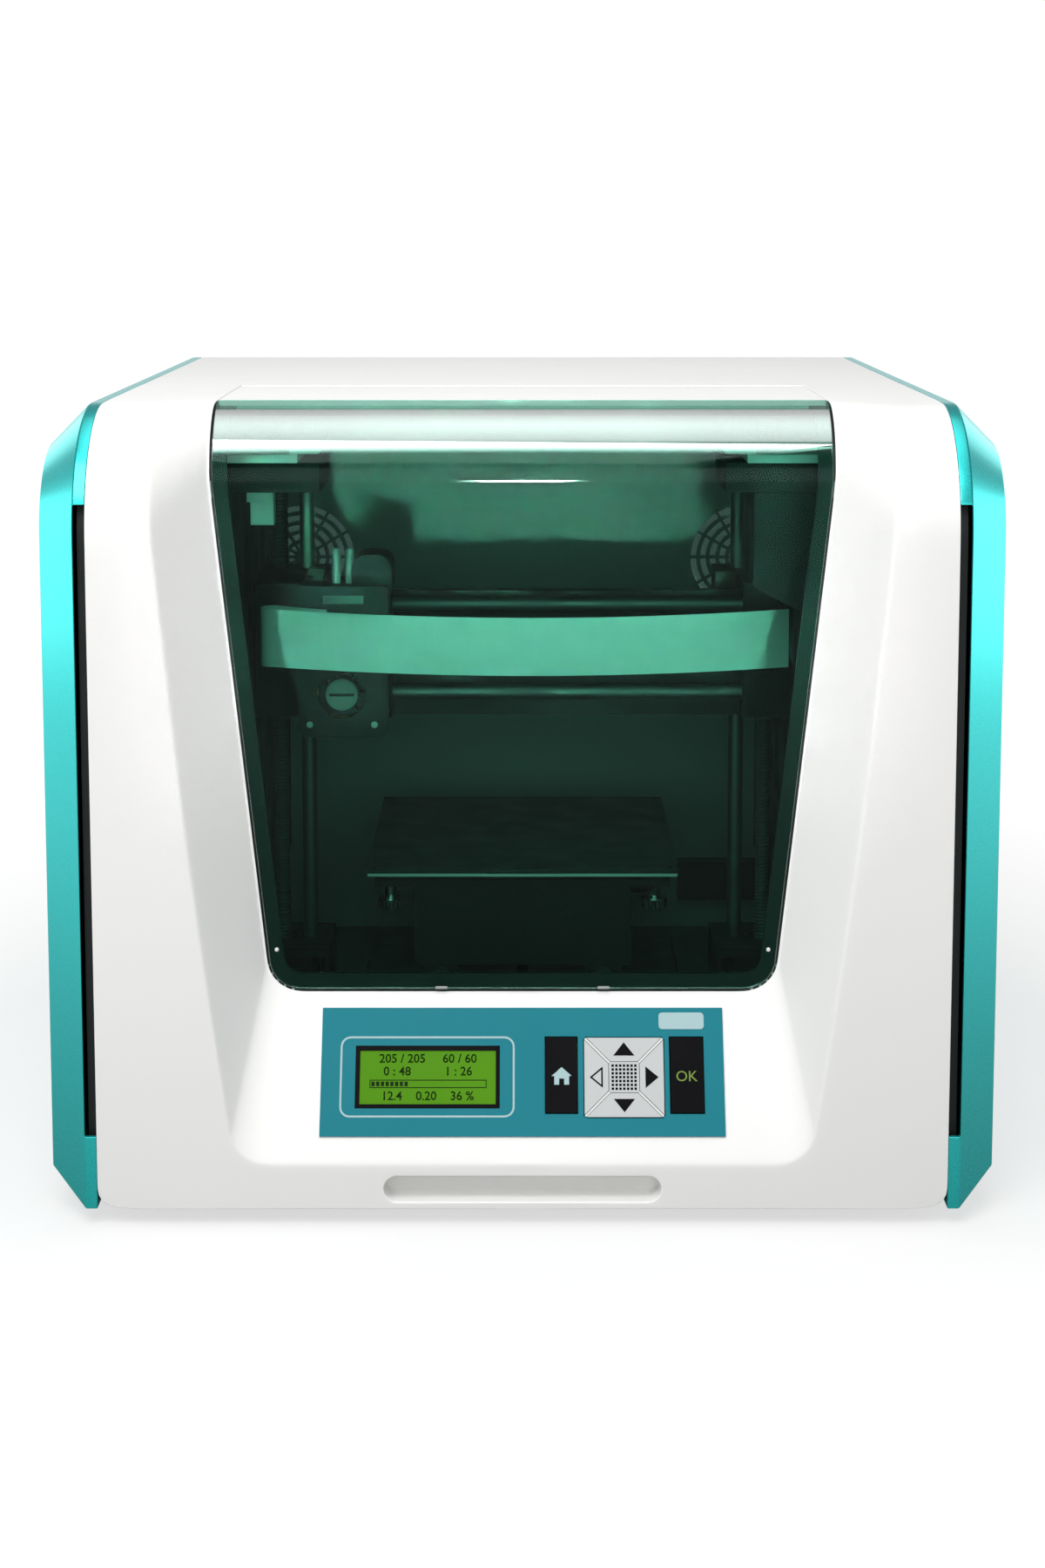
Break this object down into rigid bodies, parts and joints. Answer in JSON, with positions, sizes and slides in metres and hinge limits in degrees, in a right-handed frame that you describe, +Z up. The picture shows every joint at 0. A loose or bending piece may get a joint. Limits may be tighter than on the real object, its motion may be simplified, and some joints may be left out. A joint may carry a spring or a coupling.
{
  "type": "desktop filament 3d printer",
  "caption": "Enclosed desktop filament printer with a lifting tinted door, sloping key console, moving gantry, print head and sliding build plate.",
  "frame": {"origin": "on the surface under the middle of the body, at the bottom centre of the bounding box", "axes": "+X to the right seen from the front, +Y from the front to the rear panel, +Z up"},
  "size_m": [0.42, 0.43, 0.36],
  "materials": {
    "shell_white": "satin white moulded plastic",
    "cover_teal": "metallic teal, glossy",
    "frame_black": "satin black",
    "black_plastic": "matt black moulded plastic",
    "motor_black": "satin black",
    "rubber": "matt black",
    "console_teal": "satin teal film",
    "lcd_green": "backlit green display",
    "board_green": "printed circuit board",
    "guide_grey": "light grey",
    "steel": "ground steel",
    "aluminium": "satin",
    "brass": "machined",
    "ribbon_teal": "flat cable, satin",
    "window_green": "dark green tinted sheet, glossy",
    "bed_black": "textured black sheet",
    "spool_grey": "light grey",
    "key_black": "satin black",
    "key_white": "pale grey film"
  },
  "bodies": {
    "chassis": {"base_tray": "black_plastic", "rubber_feet": "rubber", "front_shell": "shell_white", "top_cover": "shell_white", "rear_panel": "shell_white", "left_cover": "cover_teal", "right_cover": "cover_teal", "side_frames": "frame_black", "chamber_liners": "black_plastic", "front_ledges": "shell_white", "cable_housings": "black_plastic", "rod_mounts": "black_plastic", "hinge_brackets": "shell_white", "console_panel": "console_teal", "lcd_module": "lcd_green", "circuit_boards": "board_green", "filament_guide": "guide_grey", "z_motors": "motor_black", "z_rods": "steel", "y_motor": "motor_black", "y_rods": "steel", "y_belt": "rubber", "spool_holder": "black_plastic", "rear_ports": "black_plastic", "shell_screws": "steel"},
    "door": {"door_window": "window_green", "door_strip": "shell_white"},
    "gantry": {"left_bracket": "black_plastic", "right_bracket": "black_plastic", "x_rods": "steel", "x_beam": "frame_black", "x_motor": "motor_black", "x_belt": "rubber", "z_nuts": "brass", "ribbon_cable": "ribbon_teal"},
    "carriage": {"head_housing": "black_plastic", "carriage_block": "black_plastic", "extruder_motor": "motor_black", "heat_sink": "aluminium", "hot_end": "brass"},
    "head_fan": {"head_fan": "black_plastic"},
    "drive_gear": {"drive_gear": "brass"},
    "feed_lever": {"feed_lever": "black_plastic"},
    "x_pulley": {"x_pulley": "aluminium"},
    "x_idler": {"x_idler": "aluminium"},
    "z_screw_left": {"z_screw_left": "steel"},
    "z_screw_right": {"z_screw_right": "steel"},
    "bed": {"bed_plate": "bed_black", "bed_carriage": "black_plastic", "bed_springs": "steel"},
    "y_pulley": {"y_pulley": "aluminium"},
    "y_idler": {"y_idler": "aluminium"},
    "spool": {"spool": "spool_grey"},
    "power_rocker": {"power_rocker": "black_plastic"},
    "home_key": {"home_key": "key_black"},
    "ok_key": {"ok_key": "key_black"},
    "up_key": {"up_key": "key_white"},
    "down_key": {"down_key": "key_white"},
    "left_key": {"left_key": "key_white"},
    "right_key": {"right_key": "key_white"}
  },
  "joints": [
    {"name": "door_hinge", "type": "hinge", "parent": "chassis", "child": "door", "pos_m": [0, -0.054, 0.355], "axis": [-1, 0, 0], "range_deg": [0, 95]},
    {"name": "gantry_lift", "type": "slide", "parent": "chassis", "child": "gantry", "axis": [0, 0, 1], "range_m": [-0.062, 0.078]},
    {"name": "carriage_x", "type": "slide", "parent": "gantry", "child": "carriage", "axis": [1, 0, 0], "range_m": [0, 0.178]},
    {"name": "head_fan_spin", "type": "hinge", "parent": "carriage", "child": "head_fan", "pos_m": [-0.091, -0.035, 0.203], "axis": [0, 1, 0], "continuous": true},
    {"name": "drive_gear_spin", "type": "hinge", "parent": "carriage", "child": "drive_gear", "pos_m": [-0.084, -0.0175, 0.238], "axis": [0, 1, 0], "continuous": true},
    {"name": "feed_lever_pivot", "type": "hinge", "parent": "carriage", "child": "feed_lever", "pos_m": [-0.104, -0.01, 0.226], "axis": [0, -1, 0], "range_deg": [0, 5], "stiffness_Nm_per_rad": 0.4, "springref_deg": -8.59},
    {"name": "x_pulley_spin", "type": "hinge", "parent": "gantry", "child": "x_pulley", "pos_m": [0.12, 0.009, 0.219], "axis": [0, 1, 0], "range_deg": [-5, 1610]},
    {"name": "x_idler_spin", "type": "hinge", "parent": "gantry", "child": "x_idler", "pos_m": [-0.12, 0.009, 0.219], "axis": [0, 1, 0], "range_deg": [-5, 1610]},
    {"name": "z_screw_left_spin", "type": "hinge", "parent": "chassis", "child": "z_screw_left", "pos_m": [-0.131, 0.062, 0.1], "axis": [0, 0, 1], "range_deg": [-3520, 2800]},
    {"name": "z_screw_right_spin", "type": "hinge", "parent": "chassis", "child": "z_screw_right", "pos_m": [0.131, 0.062, 0.1], "axis": [0, 0, 1], "range_deg": [-3520, 2800]},
    {"name": "bed_y", "type": "slide", "parent": "chassis", "child": "bed", "axis": [0, 1, 0], "range_m": [-0.129, 0.021]},
    {"name": "y_pulley_spin", "type": "hinge", "parent": "chassis", "child": "y_pulley", "pos_m": [0, 0.176, 0.038], "axis": [1, 0, 0], "range_deg": [-195, 1170]},
    {"name": "y_idler_spin", "type": "hinge", "parent": "chassis", "child": "y_idler", "pos_m": [0, -0.162, 0.038], "axis": [1, 0, 0], "range_deg": [-195, 1170]},
    {"name": "spool_spin", "type": "hinge", "parent": "chassis", "child": "spool", "pos_m": [-0.164, -0.08, 0.125], "axis": [1, 0, 0], "continuous": true},
    {"name": "power_rocker_tilt", "type": "hinge", "parent": "chassis", "child": "power_rocker", "pos_m": [0.07, 0.2112, 0.042], "axis": [0, 0, -1], "range_deg": [0, 18]},
    {"name": "home_key_press", "type": "slide", "parent": "chassis", "child": "home_key", "axis": [0, 0.8838, -0.4679], "range_m": [0, 0.0008], "stiffness_N_per_m": 400, "springref_m": -0.0006},
    {"name": "ok_key_press", "type": "slide", "parent": "chassis", "child": "ok_key", "axis": [0, 0.8838, -0.4679], "range_m": [0, 0.0008], "stiffness_N_per_m": 400, "springref_m": -0.0006},
    {"name": "up_key_press", "type": "slide", "parent": "chassis", "child": "up_key", "axis": [0, 0.8838, -0.4679], "range_m": [0, 0.0008], "stiffness_N_per_m": 400, "springref_m": -0.0006},
    {"name": "down_key_press", "type": "slide", "parent": "chassis", "child": "down_key", "axis": [0, 0.8838, -0.4679], "range_m": [0, 0.0008], "stiffness_N_per_m": 400, "springref_m": -0.0006},
    {"name": "left_key_press", "type": "slide", "parent": "chassis", "child": "left_key", "axis": [0, 0.8838, -0.4679], "range_m": [0, 0.0008], "stiffness_N_per_m": 400, "springref_m": -0.0006},
    {"name": "right_key_press", "type": "slide", "parent": "chassis", "child": "right_key", "axis": [0, 0.8838, -0.4679], "range_m": [0, 0.0008], "stiffness_N_per_m": 400, "springref_m": -0.0006}
  ],
  "couplings": [
    {"joint": "x_pulley_spin", "follows": "carriage_x", "rad_per_m": 157.09},
    {"joint": "x_idler_spin", "follows": "carriage_x", "rad_per_m": 157.09},
    {"joint": "z_screw_left_spin", "follows": "gantry_lift", "rad_per_m": -785.4},
    {"joint": "z_screw_right_spin", "follows": "gantry_lift", "rad_per_m": -785.4},
    {"joint": "y_pulley_spin", "follows": "bed_y", "rad_per_m": -157.09},
    {"joint": "y_idler_spin", "follows": "bed_y", "rad_per_m": -157.09}
  ]
}
